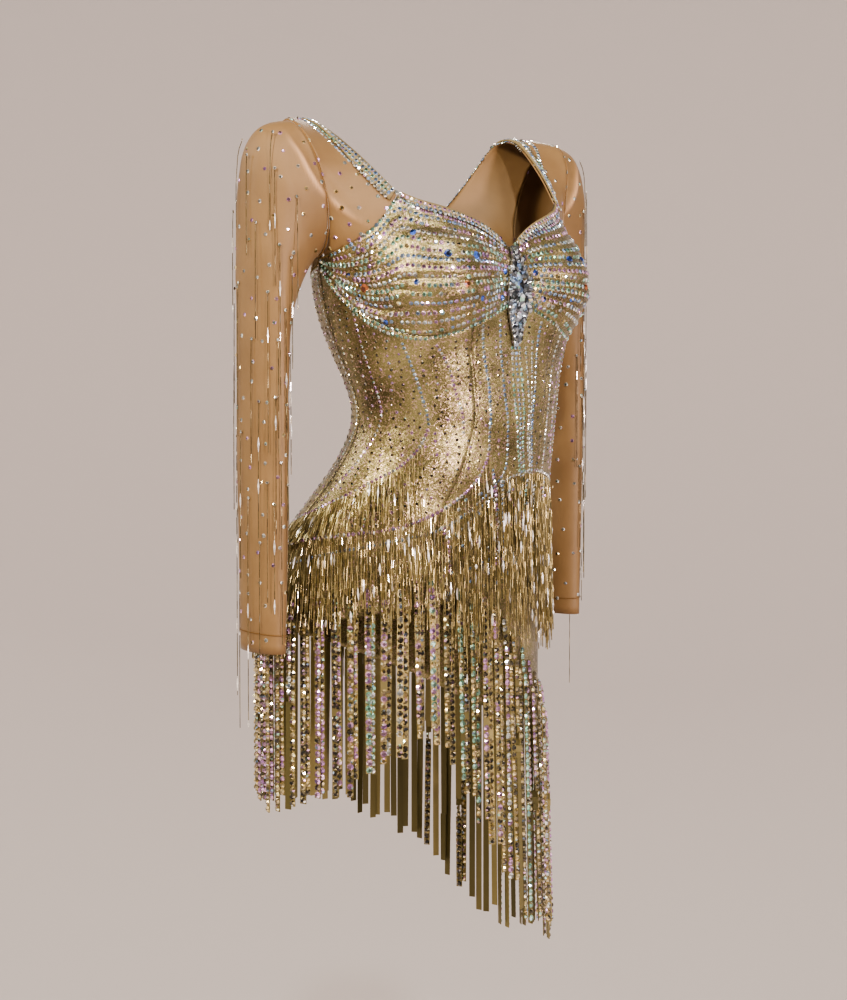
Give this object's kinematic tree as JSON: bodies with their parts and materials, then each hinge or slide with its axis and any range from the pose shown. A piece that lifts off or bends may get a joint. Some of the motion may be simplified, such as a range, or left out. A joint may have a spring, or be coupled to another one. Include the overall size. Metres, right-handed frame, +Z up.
{
  "type": "latin dance dress",
  "caption": "Fitted long-sleeved dance dress, hollow as worn, with draped cups, nude net yoke and sleeves, a crystal brooch and beaded fringe on hips, sleeves and slanting hem.",
  "frame": {"origin": "midway between the two shoulders that carry the dress, at the height of their tops, on the wearer's centre line", "axes": "-Y the front, +X the wearer's left, +Z up"},
  "size_m": [0.464, 0.3337, 0.9241],
  "materials": {
    "gold_satin": "stretch satin with a soft metallic sheen",
    "nude_net": "fine stretch net, matt",
    "crystal": "cut crystal set close on tape",
    "bugle_bead": "gold-lined bugle beads",
    "studded_strip": "satin strip covered with cut stones"
  },
  "bodies": {
    "root": {"front_centre": "gold_satin", "front_side_right": "gold_satin", "front_side_left": "gold_satin", "back_right": "gold_satin", "back_left": "gold_satin", "cup_right": "gold_satin", "cup_left": "gold_satin", "yoke_front_right": "nude_net", "yoke_front_left": "nude_net", "yoke_back": "nude_net", "sleeve_right": "nude_net", "sleeve_left": "nude_net", "cup_edging_right": "crystal", "cup_edging_left": "crystal", "neck_edging_right": "crystal", "neck_edging_left": "crystal", "brooch": "crystal", "hip_fringe_outer": "bugle_bead", "hip_fringe_inner": "bugle_bead", "hip_fringe_left": "bugle_bead", "sleeve_fringe_upper_right": "bugle_bead", "sleeve_fringe_upper_left": "bugle_bead", "sleeve_fringe_middle_right": "bugle_bead", "sleeve_fringe_middle_left": "bugle_bead", "sleeve_fringe_lower_right": "bugle_bead", "sleeve_fringe_lower_left": "bugle_bead", "hem_strips_upper": "studded_strip", "hem_strips_lower": "studded_strip"}
  },
  "joints": []
}
